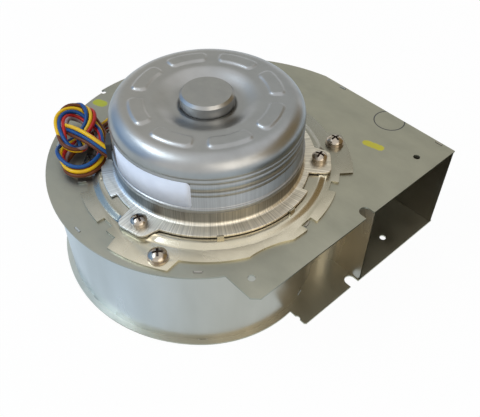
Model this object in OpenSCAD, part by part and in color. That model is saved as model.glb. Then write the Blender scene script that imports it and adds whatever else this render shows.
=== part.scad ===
// Single-inlet centrifugal blower with a flanged brushless DC motor.
// The fan axis is Z. Z = 0 is the outer face of the inlet side plate, +Z points to the motor,
// and air leaves along +X. The impeller turns clockwise seen from the motor end.

/* [Casing] */
// Height of the casing over both side plates
casing_h = 49.6; // [44:0.1:60]
// Thickness of the casing sheet
sheet_t = 0.8; // [0.6:0.1:1.2]
// Distance from the fan axis to the outlet plane
outlet_x = 72; // [70:0.5:80]
// Outer radius of the scroll on the front arc
front_arc_r = 69.4; // [68:0.1:70]
// Outer radius of the scroll on the left arc
left_arc_r = 73.7; // [72:0.1:75]
// Outer radius of the scroll on the back arc
back_arc_r = 86.2; // [84:0.1:88]
// Outer radius of the scroll on the tongue arc
tongue_arc_r = 54.4; // [54:0.1:58]
// Radius of the fillet from the tongue into the outlet duct
tongue_fillet_r = 8; // [6:0.5:10]
// Outer face of the duct wall beside the tongue
duct_y = 32.6; // [31:0.1:34]
// How far the side plates stand out beyond the scroll wall
plate_rim = 2.6; // [1.5:0.1:3.5]
// How far the side plates stand out beyond the straight back wall
back_rim = 0.8; // [0.4:0.1:1.4]
// Gap round the impeller in the hole that it is fitted through
fitting_gap = 4; // [2:0.1:4.5]
// Radius of the round holes in the side plates
plate_hole_r = 1.6; // [1:0.1:2]

/* [Inlet] */
// Step from the inside of the blade ring in to the bellmouth throat
throat_step = 3; // [2:0.1:4]
// Radius of the bellmouth's curve
bell_r = 6.5; // [5.5:0.1:7]
// Width of the bellmouth's flange outside the inlet hole
bell_flange = 6; // [4:0.5:8]
// Straight length of the bellmouth's lip
bell_lip = 2; // [1:0.5:4]

/* [Impeller] */
// Outer radius of the impeller
wheel_r = 50; // [47:0.1:50.5]
// Width of the blade ring from its inner to its outer edge
blade_depth = 7.1; // [6.5:0.1:7.6]
// Number of forward-curved blades
blade_count = 40; // [32:1:44]
// Radius of each blade's arc
blade_arc_r = 5; // [4.6:0.1:5.4]
// Thickness of a blade
blade_t = 0.5; // [0.3:0.1:0.8]
// Thickness of the impeller's back plate and end ring
wheel_sheet_t = 0.8; // [0.6:0.1:1.2]
// Running gap between the impeller and each side plate
wheel_gap = 1.8; // [1.2:0.1:2.5]
// Radius of the impeller hub
hub_r = 9; // [8:0.1:11]

/* [Motor] */
// Outer radius of the motor can
can_r = 42.5; // [42:0.1:43.5]
// Height of the can's top over the casing
can_top = 37; // [36.5:0.1:40]
// Sheet thickness of the can
can_t = 0.8; // [0.6:0.1:1]
// Radius of the can's shoulder
shoulder_r = 7.5; // [5:0.5:8]
// Number of raised pads on the can's top
pad_count = 8; // [6:1:10]
// Outer radius of the bearing cap
cap_r = 11.7; // [11.6:0.1:12.5]
// Height of the cap over the can's top
cap_rise = 2.8; // [2:0.1:4]
// Radius of the bracket's flange
flange_r = 49.3; // [48.5:0.1:50]
// Radius of the circle of ear screws
ear_pitch_r = 50.5; // [49.5:0.1:51]
// Half of the width of each ear
ear_half = 8.6; // [8:0.1:9]
// Radius of the motor shaft
shaft_r = 4; // [3.5:0.05:4.2]
// Outer radius of the bearings
bearing_r = 11; // [10.5:0.05:11]
// Width of the bearings
bearing_w = 7; // [6:0.1:7.2]

/* [Mounting ring] */
// Radius of the mounting ring between its lobes
ring_r = 60.2; // [59.5:0.1:61]
// Radius of the lobes
lobe_r = 66.2; // [65.5:0.1:67]
// Radius of the circle of ring screws
ring_pitch_r = 60.8; // [60:0.1:61.2]
// Thickness of the mounting ring
ring_t = 1.0; // [0.8:0.1:1.4]
// Height of the raised land under the motor flange
land_rise = 1.4; // [1:0.1:2]

/* [Screws] */
// Thread radius of the screws
screw_r = 2; // [1.5:0.1:2]
// Radius of the ear screws' pan heads
head_r = 3.5; // [3.2:0.1:3.8]
// Radius of the ring screws' washers
washer_r = 4.4; // [4.2:0.1:4.8]

/* [Hidden] */
$fn = 96;

far = 300;         // longer than the whole part, for cutting shapes
fit_gap = 0.05;    // between a screw or lug and its hole
run_gap = 0.03;    // between the shaft and a bearing
seat_gap = 0.02;   // between pieces pressed together

// Radii of the wheel, the inlet and the hole in the motor side plate
wheel_rim = 0.4;
blade_tip_r = wheel_r - wheel_rim;
blade_heel_r = blade_tip_r - blade_depth;
blade_lean = 1.05;
blade_c_r = (blade_tip_r + blade_heel_r) / 2 - blade_lean;
throat_r = blade_heel_r - throat_step;
inlet_hole_r = throat_r + bell_r;
fitting_hole_r = wheel_r + fitting_gap;

// Centres of the scroll's arcs. Each arc is tangent to the next one.
front_c = [-5.5, 0.7];
left_c = [front_c.x, front_c.y - front_arc_r + left_arc_r];
back_c = [left_c.x - left_arc_r + back_arc_r, left_c.y];
tongue_angle = -43;
tongue_c = front_c + (front_arc_r - tongue_arc_r) * [cos(tongue_angle), sin(tongue_angle)];
back_y = back_c.y + back_arc_r;
fillet_y = duct_y - tongue_fillet_r;
fillet_reach = tongue_arc_r + tongue_fillet_r;
fillet_c = [
    tongue_c.x + sqrt(pow(fillet_reach, 2) - pow(fillet_y - tongue_c.y, 2)),
    fillet_y
];
fillet_angle = atan2(fillet_c.y - tongue_c.y, fillet_c.x - tongue_c.x);

// The corner tab of the motor side plate and the short corner of the inlet side plate
tab_y = -38.2;
tab_chamfer = 3;
inlet_corner_y = -5.2;
rim_relief = 0.9;
notch_w = 5.6;
notch_depth = 5.6;
hole_x = outlet_x - 9.6;
tab_hole_y = -31.3;
back_hole_y = 74.8;
floor_hole_y = 63;

// Lugs of the scroll wall: [centre of its arc, radius, angle]
lug_w = 3.4;
lug_proud = 0.2;
lugs = [
    [tongue_c, tongue_arc_r, 16.2],
    [front_c, front_arc_r, -41.5],
    [left_c, left_arc_r, -89.4],
    [left_c, left_arc_r, -136],
    [back_c, back_arc_r, 174],
    [back_c, back_arc_r, 132],
    [back_c, back_arc_r, 93]
];
back_lug_x = hole_x + 1.2;

// Levels over the casing's motor side
zt = casing_h;
land_z = zt + land_rise + ring_t;
gasket_t = 0.6;
flange_z = land_z + gasket_t;
flange_t = 1;
band_r = can_r + 0.5;
band_z = flange_z + 2.8;
can_z = flange_z + 8.1;
lip_h = 2.1;
lip_r = can_r + 0.9;
top_z = zt + can_top;
cap_top_z = top_z + cap_rise;
dish_z = top_z - 2.9;
dish_r = 21.5;

ring_angles = [-60, 60, 180];
ear_angles = [-75.2, 44.8, 164.8];

// Bearings, rotor and stator
bracket_bearing_z = flange_z + flange_t + 0.2;
pocket_t = 1.1;
cap_t = 0.8;
washer_spring = 0.5;
upper_bearing_z = cap_top_z - cap_t - washer_spring - bearing_w;
stack_h = 12;
stack_z = zt + 17;
stack_mid = stack_z + stack_h / 2;
stator_r = can_r - can_t - 0.1;
stator_bore = 24.2;
air_gap = 0.6;
slot_count = 12;
tooth_w = 4.6;
yoke_w = 5.2;
yoke_r = stator_r - yoke_w;
shoe_t = 2;
rotor_z = stack_mid - 7;
rotor_h = 14;
magnet_r = stator_bore - air_gap;
core_r = 16;
board_z = zt + 11.7;
board_t = 1.6;
board_edge_gap = 0.6;
board_r = stator_r - board_edge_gap;
board_hole_r = 14;

// Impeller levels
wheel_top = casing_h - sheet_t - wheel_gap;
plate_z = wheel_top - wheel_sheet_t;
end_ring_z = sheet_t * 2 + wheel_gap;
blade_z = end_ring_z + wheel_sheet_t;
cone_h = 10;
hub_flange_z = plate_z - cone_h;
hub_nose = 9.3;
hub_bottom = hub_flange_z - hub_nose;
hub_neck = 6.8;
hub_top = hub_flange_z + hub_neck;
thread_r = 3;
nut_h = 5;
nut_af = 10;
hub_washer_r = 7;
hub_washer_t = 1.5;

// Leads: a bundle of thin wires, as one tube
bundle_r = 2.5;
grommet_angle = -130;
grommet_w = 9.6;
grommet_out = 47.5;

// The bundle's route from the grommet, down on the mounting ring and round its first loop
loop_route = [
    [-30.7, -36.5, 9.5], [-33, -39.2, 8.8], [-34.8, -43.6, 6.4], [-37, -48.2, 4.4],
    [-41, -51.6, 3.8], [-46.5, -52.6, 3.8], [-51.5, -50.2, 3.8], [-55, -45.5, 3.8],
    [-57, -40, 3.8], [-58.4, -34.4, 3.8]
];
// The bundle's route from the knot round the back of the motor to the connector
tail_route = [
    [-45.2, -29.2, 9.2], [-45.2, -26.4, 8.2], [-48.4, -22.8, 5.8], [-51.4, -17.4, 4.7],
    [-53.4, -10, 4.7], [-53.4, -4, 4.8], [-54, 0.8, 5.2], [-55.9, 5.2, 5.3],
    [-58.6, 9.4, 4.6], [-61.6, 13.6, 3.8], [-64.4, 17.8, 3.8], [-66.2, 21.8, 3.4]
];
// The knotted turns of the bundle: two round ends of an oval, and its height
coil_a = [-60, -34];
coil_a_r = 10.5;
coil_b = [-50, -37.5];
coil_b_r = 9;
coil_width = 5.5;
coil_z = 6.6;
coil_h = 6.4;
connector_c = [-69, 29.5];
connector_turn = 105;
connector_size = [11, 13.5, 6];

// ---------------------------------------------------------------- outlines

// A pie slice from one angle to another, under 180 degrees
module slice(c, from, to) {
    polygon([
        c,
        c + far * [cos(from), sin(from)],
        c + far * [cos((from + to) / 2), sin((from + to) / 2)],
        c + far * [cos(to), sin(to)]
    ]);
}

// The part of a disc inside a pie slice
module disc_slice(c, r, from, to) {
    intersection() {
        translate(c) circle(r);
        slice(c, from, to);
    }
}

// The scroll with its duct, grown by g beyond the wall's outer face
module scroll_outline(g) {
    difference() {
        union() {
            disc_slice(back_c, back_arc_r + g, 90, 180);
            disc_slice(left_c, left_arc_r + g, 180, 270);
            disc_slice(front_c, front_arc_r + g, -90, tongue_angle);
            disc_slice(tongue_c, tongue_arc_r + g, tongue_angle, fillet_angle);
            polygon([
                front_c, tongue_c, fillet_c, [fillet_c.x, duct_y - g],
                [outlet_x, duct_y - g], [outlet_x, back_y + g],
                [back_c.x, back_y + g], back_c, left_c
            ]);
        }
        translate(fillet_c) circle(tongue_fillet_r - g);
    }
}

// A side plate: the scroll with a rim, and the straight front edge down to corner_y
module plate_outline(corner_y, chamfer) {
    difference() {
        union() {
            intersection() {
                scroll_outline(plate_rim);
                translate([-far, -far]) square([far + outlet_x, far + back_y + back_rim]);
            }
            polygon([
                [0, corner_y], [outlet_x - chamfer, corner_y], [outlet_x, corner_y + chamfer],
                [outlet_x, back_y + back_rim], [0, back_y + back_rim]
            ]);
        }
        // U-notch beside the duct wall
        translate([outlet_x - notch_depth + notch_w / 2, duct_y - notch_w / 2 - 0.4]) {
            circle(notch_w / 2);
            translate([0, -notch_w / 2]) square([far, notch_w]);
        }
        for (l = lugs) {
            translate(l[0]) rotate(l[2]) translate([l[1] - sheet_t / 2, 0])
                square([sheet_t + 0.3, lug_w + 0.4], center = true);
        }
        translate([back_lug_x, back_y - sheet_t / 2])
            square([lug_w + 0.4, sheet_t + 0.3], center = true);
    }
}

// ---------------------------------------------------------------- casing

module motor_side_plate() {
    color("darkkhaki")
    difference() {
        translate([0, 0, zt - sheet_t]) linear_extrude(sheet_t) plate_outline(tab_y, tab_chamfer);
        translate([0, 0, zt - far / 2]) cylinder(r = fitting_hole_r, h = far);
        for (y = [tab_hole_y, back_hole_y]) {
            translate([hole_x, y, zt - 2 * sheet_t]) cylinder(r = plate_hole_r, h = 4 * sheet_t);
        }
        for (a = ring_angles) {
            rotate(a) translate([ring_pitch_r, 0, zt - 2 * sheet_t])
                cylinder(r = screw_r + fit_gap, h = 4 * sheet_t);
        }
        // the rim is cut back on the left, down to a small nick
        translate([0, 0, zt - 2 * sheet_t]) linear_extrude(4 * sheet_t) {
            intersection() {
                difference() {
                    circle(far);
                    translate(left_c) circle(left_arc_r + rim_relief);
                }
                slice([0, 0], 184.5, 209);
            }
            rotate(184.6) translate([left_arc_r + 5.6, 0]) circle(1.4);
        }
    }
}

module inlet_side_plate() {
    color("darkkhaki")
    difference() {
        linear_extrude(sheet_t) difference() {
            plate_outline(inlet_corner_y, 0.8);
            translate([outlet_x - 4.8, inlet_corner_y - 0.6]) circle(1.5);
        }
        translate([0, 0, -sheet_t]) cylinder(r = inlet_hole_r, h = 3 * sheet_t);
        translate([hole_x, floor_hole_y, -sheet_t]) cylinder(r = plate_hole_r, h = 3 * sheet_t);
    }
}

// Drawn bellmouth, spot-welded on the inside of the inlet side plate
module inlet_ring() {
    bell_top = sheet_t + bell_r;
    color("silver")
    rotate_extrude() {
        translate([inlet_hole_r, bell_top]) intersection() {
            difference() {
                circle(bell_r);
                circle(bell_r - sheet_t);
            }
            translate([-bell_r, -bell_r]) square(bell_r);
        }
        translate([inlet_hole_r, sheet_t]) square([bell_flange, sheet_t]);
        translate([throat_r, bell_top]) square([sheet_t, bell_lip]);
    }
}

// A strip of the wall's sheet along an arc: its outer and inner faces are arcs about c
module wall_arc(c, r, from, to) {
    intersection() {
        difference() {
            translate(c) circle(r);
            translate(c) circle(r - sheet_t);
        }
        slice(c, from, to);
    }
}

// The staking lugs, which stand in the side plates' slots
module lug_strips() {
    for (l = lugs) {
        half = lug_w / 2 / l[1] * 180 / PI;
        wall_arc(l[0], l[1], l[2] - half, l[2] + half);
    }
    translate([back_lug_x - lug_w / 2, back_y - sheet_t]) square([lug_w, sheet_t]);
}

module scroll_wall() {
    color("lightsteelblue") {
        translate([0, 0, sheet_t]) linear_extrude(casing_h - 2 * sheet_t) {
            wall_arc(back_c, back_arc_r, 90, 180);
            wall_arc(left_c, left_arc_r, 180, 270);
            wall_arc(front_c, front_arc_r, -90, tongue_angle);
            wall_arc(tongue_c, tongue_arc_r, tongue_angle, fillet_angle);
            wall_arc(fillet_c, tongue_fillet_r + sheet_t, 90, 180 + fillet_angle);
            translate([fillet_c.x, duct_y]) square([outlet_x - fillet_c.x, sheet_t]);
            translate([back_c.x, back_y - sheet_t]) square([outlet_x - back_c.x, sheet_t]);
        }
        linear_extrude(sheet_t) lug_strips();
        translate([0, 0, zt - sheet_t]) linear_extrude(sheet_t + lug_proud) lug_strips();
    }
}

// ---------------------------------------------------------------- mounting ring

// One third of the ring's outline beyond its plain radius
module ring_lobe() {
    intersection() {
        circle(lobe_r);
        polygon([
            (ring_r - 3) * [cos(-21), sin(-21)], (lobe_r + 3) * [cos(-18.5), sin(-18.5)],
            (lobe_r + 3) * [1, 0], (lobe_r + 3) * [cos(4), sin(4)],
            (ring_r - 3) * [cos(9.5), sin(9.5)]
        ]);
    }
}

ring_notch = 3.5;
ring_notch_w = 6.4;
relief_r = 40;
module ring_outline() {
    difference() {
        union() {
            circle(ring_r);
            for (a = ring_angles) rotate(a) ring_lobe();
        }
        for (a = ring_angles) {
            rotate(a + 45) translate([ring_r - 2.2 + relief_r, 0]) circle(relief_r);
            for (b = [65.6, 91]) {
                rotate(a + b) translate([ring_r - ring_notch, -ring_notch_w / 2])
                    square([ring_notch + 5, ring_notch_w]);
            }
        }
    }
}

land_r = flange_r + 1.7;
land_foot_r = 54.4;
land_steps = 8;
ring_bore_r = 40;
pad_hollow_r = 4.4;
finger_w = 2.8;
// The slope from the raised land down to the ring, over or under a level
function land_slope(level) = [
    for (i = [0 : land_steps])
        [
            land_r + (land_foot_r - land_r) * i / land_steps,
            level + land_rise * (1 + cos(180 * i / land_steps)) / 2
        ]
];
function turned_back(points) = [for (i = [len(points) - 1 : -1 : 0]) points[i]];
module mounting_ring() {
    color("silver")
    difference() {
        union() {
            translate([0, 0, zt]) linear_extrude(ring_t) difference() {
                ring_outline();
                circle(land_foot_r - 1);
            }
            translate([0, 0, zt]) rotate_extrude() polygon(concat(
                [[ring_bore_r, land_rise]], land_slope(0),
                turned_back(land_slope(ring_t)), [[ring_bore_r, land_rise + ring_t]]
            ));
            translate([0, 0, zt]) linear_extrude(land_rise + ring_t) ear_tabs(0);
            // upright fingers that centre the motor flange
            for (a = ring_angles) {
                for (b = [25, 64]) {
                    rotate(a + b) translate([flange_r + 0.4, -finger_w / 2, zt + land_rise])
                        cube([0.8, finger_w, ring_t + 2.4]);
                }
            }
        }
        for (a = ear_angles) {
            rotate(a) translate([ear_pitch_r, 0, zt - 1]) {
                cylinder(r = pad_hollow_r, h = 1 + land_rise);
                cylinder(r = screw_r + fit_gap, h = 20);
            }
        }
        for (a = ring_angles) {
            rotate(a) translate([ring_pitch_r, 0, zt - 1]) cylinder(r = screw_r + 0.2, h = 10);
        }
        // inside of the raised land stays open under the sheet
        translate([0, 0, zt - 1]) cylinder(r = land_r - 0.6, h = 1 + land_rise);
    }
}

// Pan-head screw with a washer, its seat at z = 0 and its thread going down
head_h = 3;
washer_t = 0.8;
spring_washer_t = 1;
ring_screw_length = 5.5;
ear_screw_length = 4.6;
module pan_screw(length, head, seat_r, seat_t) {
    rotate_extrude() difference() {
        union() {
            translate([0, -length]) square([screw_r, length + seat_t]);
            square([seat_r, seat_t]);
            translate([0, seat_t]) intersection() {
                square([head, head_h]);
                translate([0, head_h - head * 1.35]) circle(head * 1.35);
            }
        }
        translate([-far, -far]) square([far, 2 * far]);
    }
}

recess_w = 1;
recess_reach = 2.2;
recess_depth = 1.9;
module cross_recess(seat_t) {
    for (a = [0, 90]) {
        rotate(a) translate([-recess_reach, -recess_w / 2, seat_t + head_h - recess_depth])
            cube([2 * recess_reach, recess_w, 3]);
    }
}

module ring_screws() {
    color("gainsboro")
    for (a = ring_angles) {
        rotate(a) translate([ring_pitch_r, 0, zt + ring_t]) difference() {
            pan_screw(ring_screw_length, head_r + 0.4, washer_r, washer_t);
            rotate(25) cross_recess(washer_t);
        }
    }
}

module ear_screws() {
    color("gainsboro")
    for (a = ear_angles) {
        rotate(a) translate([ear_pitch_r, 0, flange_z + flange_t]) difference() {
            pan_screw(ear_screw_length, head_r, head_r - 0.1, spring_washer_t);
            rotate(60) cross_recess(spring_washer_t);
        }
    }
}

// ---------------------------------------------------------------- motor housing

// Round holes for the ear screws
module ear_holes(r) {
    for (a = ear_angles) rotate(a) translate([ear_pitch_r, 0]) circle(r);
}

// Ears with rounded corners and one flared side, drawn in by a margin
ear_end = 5.4;
ear_corner = 3.4;
ear_taper = 1.8;
ear_flare = 2;
ear_root = -6.5;
module ear_tabs(margin) {
    corner_x = ear_end - ear_corner;
    corner = ear_corner - margin;
    near_y = ear_corner - ear_half;
    far_y = ear_half - ear_taper - ear_corner;
    for (a = ear_angles) rotate(a) translate([ear_pitch_r, 0]) polygon(concat(
        [[ear_root, margin - ear_half]],
        [for (q = [-90 : 22.5 : 0]) [corner_x + corner * cos(q), near_y + corner * sin(q)]],
        [for (q = [0 : 22.5 : 67.5]) [corner_x + corner * cos(q), far_y + corner * sin(q)]],
        [[ear_root, ear_half + ear_flare - margin]]
    ));
}

flange_relief_r = 46.5;   // beside each ear, where the flange is cut back
relief_from = -24.3;
relief_to = -6;
gasket_margin = 0.7;
module motor_gasket() {
    color("dimgray")
    translate([0, 0, land_z]) linear_extrude(gasket_t) difference() {
        union() {
            circle(flange_relief_r - gasket_margin);
            ear_tabs(gasket_margin);
        }
        circle(ring_bore_r + 1);
        ear_holes(screw_r + 0.2);
    }
}

bracket_hole_r = 6.2;
module motor_bracket() {
    inner = band_r - 1;
    flange_top = flange_z + flange_t;
    color("silver")
    difference() {
        union() {
            difference() {
                rotate_extrude() polygon([
                    [bracket_hole_r, flange_z], [flange_r, flange_z], [flange_r, flange_top],
                    [band_r + 1.4, flange_top], [band_r + 0.5, flange_top + 0.3],
                    [band_r, flange_top + 1.1], [band_r, can_z], [inner, can_z],
                    [inner, flange_top], [bearing_r + pocket_t, flange_top],
                    [bearing_r + pocket_t, bracket_bearing_z + bearing_w],
                    [bearing_r + seat_gap, bracket_bearing_z + bearing_w],
                    [bearing_r + seat_gap, bracket_bearing_z],
                    [bracket_hole_r, bracket_bearing_z]
                ]);
                for (a = ear_angles) {
                    rotate(a) translate([0, 0, flange_z - 1]) linear_extrude(flange_t + 2) difference() {
                        disc_slice([0, 0], flange_r + 5, relief_from, relief_to);
                        circle(flange_relief_r);
                    }
                }
            }
            translate([0, 0, flange_z]) linear_extrude(flange_t) difference() {
                ear_tabs(0);
                circle(flange_relief_r - 0.5);
            }
        }
        translate([0, 0, flange_z - 1]) linear_extrude(flange_t + 2) ear_holes(screw_r + 0.2);
    }
}

// The can's outer or inner half profile: straight side, round shoulder, flat top
module can_profile(r, top, shoulder) {
    union() {
        square([r, top - shoulder]);
        square([r - shoulder, top]);
        translate([r - shoulder, top - shoulder]) intersection() {
            circle(shoulder);
            square([shoulder, shoulder]);
        }
    }
}

pad_in = 26.8;
pad_out = 33.2;
pad_h = 0.7;
pad_span = 34;
pad_corner = 1.6;
pad_step = 0.4;
function polar(r, a) = r * [cos(a), sin(a)];
// A quarter turn round a corner of a pad, at radius r and angle a, starting at angle from
function pad_turn(r, a, from, margin) = [
    for (q = [0 : 30 : 90]) polar(r, a) + polar(pad_corner - margin, a + from + q)
];
module pad_outline(margin) {
    r_out = pad_out - pad_corner;
    r_in = pad_in + pad_corner;
    a_out = pad_span / 2 - asin(pad_corner / r_out);
    a_in = pad_span / 2 - asin(pad_corner / r_in);
    polygon(concat(
        [for (k = [-2 : 2]) polar(pad_out - margin, a_out * k / 3)],
        pad_turn(r_out, a_out, 0, margin), pad_turn(r_in, a_in, 90, margin),
        [for (k = [2 : -1 : -2]) polar(pad_in + margin, a_in * k / 3)],
        pad_turn(r_in, -a_in, 180, margin), pad_turn(r_out, -a_out, 270, margin)
    ));
}
module can_pads() {
    for (i = [0 : pad_count - 1]) {
        rotate(22.5 + i * 360 / pad_count) translate([0, 0, top_z - 0.1]) {
            linear_extrude(pad_h - pad_step + 0.1) pad_outline(0);
            linear_extrude(pad_h + 0.1) pad_outline(pad_step);
        }
    }
}

lead_slot_w = 8;
lead_slot_h = 4.8;
groove = 0.25;
module motor_can() {
    can_h = top_z - can_z;
    color("silver")
    difference() {
        union() {
            translate([0, 0, can_z]) rotate_extrude() difference() {
                union() {
                    can_profile(can_r, can_h, shoulder_r);
                    square([lip_r, lip_h]);
                }
                // the inside of the drawn shell
                translate([0, -0.01])
                    can_profile(can_r - can_t, can_h - can_t, shoulder_r - can_t);
            }
            // the dish's underside, drawn down from the top
            translate([0, 0, dish_z - can_t]) rotate_extrude()
                polygon([
                    [cap_r + seat_gap, 0], [15.2, 0], [dish_r + 0.6, top_z - dish_z],
                    [dish_r + 0.6, can_t + top_z - dish_z], [cap_r + seat_gap, can_t + top_z - dish_z]
                ]);
            can_pads();
        }
        // the dish
        translate([0, 0, dish_z]) rotate_extrude() polygon([
            [0, 0], [14.6, 0], [18, 1], [dish_r, top_z - dish_z], [dish_r, 5], [0, 5]
        ]);
        translate([0, 0, dish_z - 5]) cylinder(r = cap_r + seat_gap, h = 10);
        // rolled grooves round the side
        for (h = [7.6, 10, 14.4, 16.8]) {
            translate([0, 0, can_z + h]) rotate_extrude()
                translate([can_r - groove, 0]) square([5, 1]);
        }
        // way out for the leads
        rotate(grommet_angle) translate([can_r - 3, -lead_slot_w / 2, can_z - 1])
            cube([6, lead_slot_w, lead_slot_h + 1]);
    }
}

cap_flange_r = 14.8;
module bearing_cap() {
    bottom = dish_z - 2 * can_t;
    color("silver")
    rotate_extrude() polygon([
        [bearing_r + seat_gap, bottom], [cap_flange_r, bottom], [cap_flange_r, bottom + can_t],
        [cap_r, bottom + can_t], [cap_r, cap_top_z - 1.2], [cap_r - 1.1, cap_top_z],
        [0, cap_top_z], [0, cap_top_z - cap_t], [bearing_r + seat_gap, cap_top_z - cap_t]
    ]);
}

module wave_washer() {
    color("dimgray")
    translate([0, 0, cap_top_z - cap_t - washer_spring])
    rotate_extrude() translate([bearing_r - 3.4, 0]) square([3, washer_spring]);
}

// Deep-groove ball bearing with its shields, as one piece
module bearing(z) {
    shield = 0.3;
    translate([0, 0, z]) rotate_extrude() difference() {
        translate([shaft_r + run_gap, 0]) square([bearing_r - shaft_r - run_gap, bearing_w]);
        for (h = [-1, bearing_w - shield]) {
            translate([shaft_r + 1.7, h]) square([bearing_r - shaft_r - 3.4, 1 + shield]);
        }
    }
}

module upper_bearing() {
    color("lightgray") bearing(upper_bearing_z);
}

module lower_bearing() {
    color("lightgray") bearing(bracket_bearing_z);
}

// ---------------------------------------------------------------- stator

module stator_core() {
    color("slategray")
    translate([0, 0, stack_z]) linear_extrude(stack_h) {
        difference() {
            circle(stator_r);
            circle(yoke_r);
        }
        for (i = [0 : slot_count - 1]) {
            rotate(i * 360 / slot_count) {
                translate([stator_bore + 0.8, -tooth_w / 2])
                    square([yoke_r - stator_bore, tooth_w]);
                difference() {
                    disc_slice([0, 0], stator_bore + shoe_t, -12.5, 12.5);
                    circle(stator_bore);
                }
            }
        }
    }
}

coil_in = stator_bore + 3;
coil_out = yoke_r - 0.8;
liner = 0.5;
coil_t = 2.2;
// One rectangular loop round a tooth, wall thick and clear of the tooth by gap
module tooth_loop(from, to, gap, wall) {
    w = tooth_w / 2 + gap;
    h = stack_h / 2 + gap;
    translate([from, 0, stack_mid]) difference() {
        translate([0, -w - wall, -h - wall]) cube([to - from, 2 * (w + wall), 2 * (h + wall)]);
        translate([-1, -w, -h]) cube([to - from + 2, 2 * w, 2 * h]);
    }
}

module end_insulator() {
    color("ivory") {
        for (i = [0 : slot_count - 1]) {
            rotate(i * 360 / slot_count) tooth_loop(coil_in - 0.5, coil_out + 0.5, 0.05, liner - 0.1);
        }
        // the ring that carries the circuit board on its posts
        translate([0, 0, stack_z - 1.4]) linear_extrude(1.35) difference() {
            circle(stator_r - 0.6);
            circle(yoke_r + 0.6);
        }
        for (a = [15, 135, 255]) {
            rotate(a) translate([stator_r - 2.6, 0, board_z + board_t])
                cylinder(r = 1.4, h = stack_z - 1.4 - board_z - board_t);
        }
    }
}

module stator_coils() {
    color("chocolate")
    for (i = [0 : slot_count - 1]) {
        rotate(i * 360 / slot_count) tooth_loop(coil_in, coil_out, liner, coil_t);
    }
}

module circuit_board() {
    color("darkgreen")
    translate([0, 0, board_z]) difference() {
        cylinder(r = board_r, h = board_t);
        translate([0, 0, -1]) cylinder(r = board_hole_r, h = board_t + 2);
    }
}

capacitor_r = 4;
capacitor_h = 5.8;
chip = [8, 8, 2.2];
board_socket = [6, 10, 5];
parts_r = 30;
module board_parts() {
    color("black") {
        for (a = [20, 80, 200]) {
            rotate(a) translate([parts_r, 0, board_z - capacitor_h])
                cylinder(r = capacitor_r, h = capacitor_h);
        }
        for (a = [50, 140, 170, 260, 300]) {
            rotate(a) translate([parts_r - chip.x / 2, 0, board_z - chip.z])
                translate([-chip.x / 2, -chip.y / 2, 0]) cube(chip);
        }
        rotate(grommet_angle) translate([parts_r + 2, -board_socket.y / 2, board_z - board_socket.z])
            cube(board_socket);
    }
}

// ---------------------------------------------------------------- rotor

module rotor_core() {
    color("slategray")
    translate([0, 0, rotor_z]) linear_extrude(rotor_h) difference() {
        circle(core_r);
        circle(shaft_r + seat_gap);
        for (a = [0 : 60 : 300]) rotate(a) translate([10, 0]) circle(2.6);
    }
}

module rotor_magnet() {
    color("dimgray")
    translate([0, 0, rotor_z - 0.5]) linear_extrude(rotor_h + 1) difference() {
        circle(magnet_r);
        circle(core_r + seat_gap);
    }
}

module motor_shaft() {
    color("lightgray") {
        translate([0, 0, hub_bottom + 0.2])
            cylinder(r = shaft_r, h = upper_bearing_z + bearing_w - hub_bottom - 0.4);
        translate([0, 0, hub_bottom - hub_washer_t - nut_h - 1])
            cylinder(r = thread_r - fit_gap, h = nut_h + hub_washer_t + 1.2);
    }
}

// Distance tubes between the rotor core and the two bearings
module shaft_spacers() {
    low = bracket_bearing_z + bearing_w + 0.3;
    high = rotor_z + rotor_h;
    color("lightgray") {
        translate([0, 0, low]) linear_extrude(rotor_z - low) difference() {
            circle(shaft_r + 1.6);
            circle(shaft_r + seat_gap);
        }
        translate([0, 0, high]) linear_extrude(upper_bearing_z - 0.3 - high) difference() {
            circle(shaft_r + 1.6);
            circle(shaft_r + seat_gap);
        }
    }
}

// ---------------------------------------------------------------- impeller

hub_flange_r = 14.5;
hub_flange_t = 2.5;
rivet_pitch_r = 11.8;
rivet_r = 1.2;
module impeller_hub() {
    color("silver")
    difference() {
        rotate_extrude() polygon([
            [shaft_r + seat_gap, hub_bottom], [hub_r - 1, hub_bottom], [hub_r, hub_bottom + 1],
            [hub_r, hub_flange_z - hub_flange_t], [hub_flange_r, hub_flange_z - hub_flange_t],
            [hub_flange_r, hub_flange_z], [hub_r, hub_flange_z], [hub_r, hub_top],
            [shaft_r + seat_gap, hub_top]
        ]);
        for (a = [0 : 60 : 300]) {
            rotate(a) translate([rivet_pitch_r, 0, hub_flange_z - 5]) cylinder(r = rivet_r + 0.02, h = 10);
        }
    }
}

module hub_rivets() {
    color("lightgray")
    for (a = [0 : 60 : 300]) {
        rotate(a) translate([rivet_pitch_r, 0, 0]) {
            translate([0, 0, hub_flange_z - hub_flange_t]) cylinder(r = rivet_r, h = hub_flange_t + wheel_sheet_t);
            translate([0, 0, hub_flange_z + wheel_sheet_t]) cylinder(r = 2, h = 1);
            translate([0, 0, hub_flange_z - hub_flange_t - 1]) cylinder(r = 2, h = 1);
        }
    }
}

// Back plate of the wheel, coned down to the hub
cone_out = 30;
cone_in = 16;
module impeller_plate() {
    color("silver")
    difference() {
        rotate_extrude() polygon([
            [wheel_r, plate_z], [wheel_r, wheel_top], [cone_out, wheel_top],
            [cone_in, hub_flange_z + wheel_sheet_t], [hub_r + 0.1, hub_flange_z + wheel_sheet_t],
            [hub_r + 0.1, hub_flange_z], [cone_in + 0.4, hub_flange_z], [cone_out + 0.4, plate_z]
        ]);
        for (a = [0 : 60 : 300]) {
            rotate(a) translate([rivet_pitch_r, 0, hub_flange_z - 5]) cylinder(r = rivet_r + 0.02, h = 10);
        }
    }
}

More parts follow.
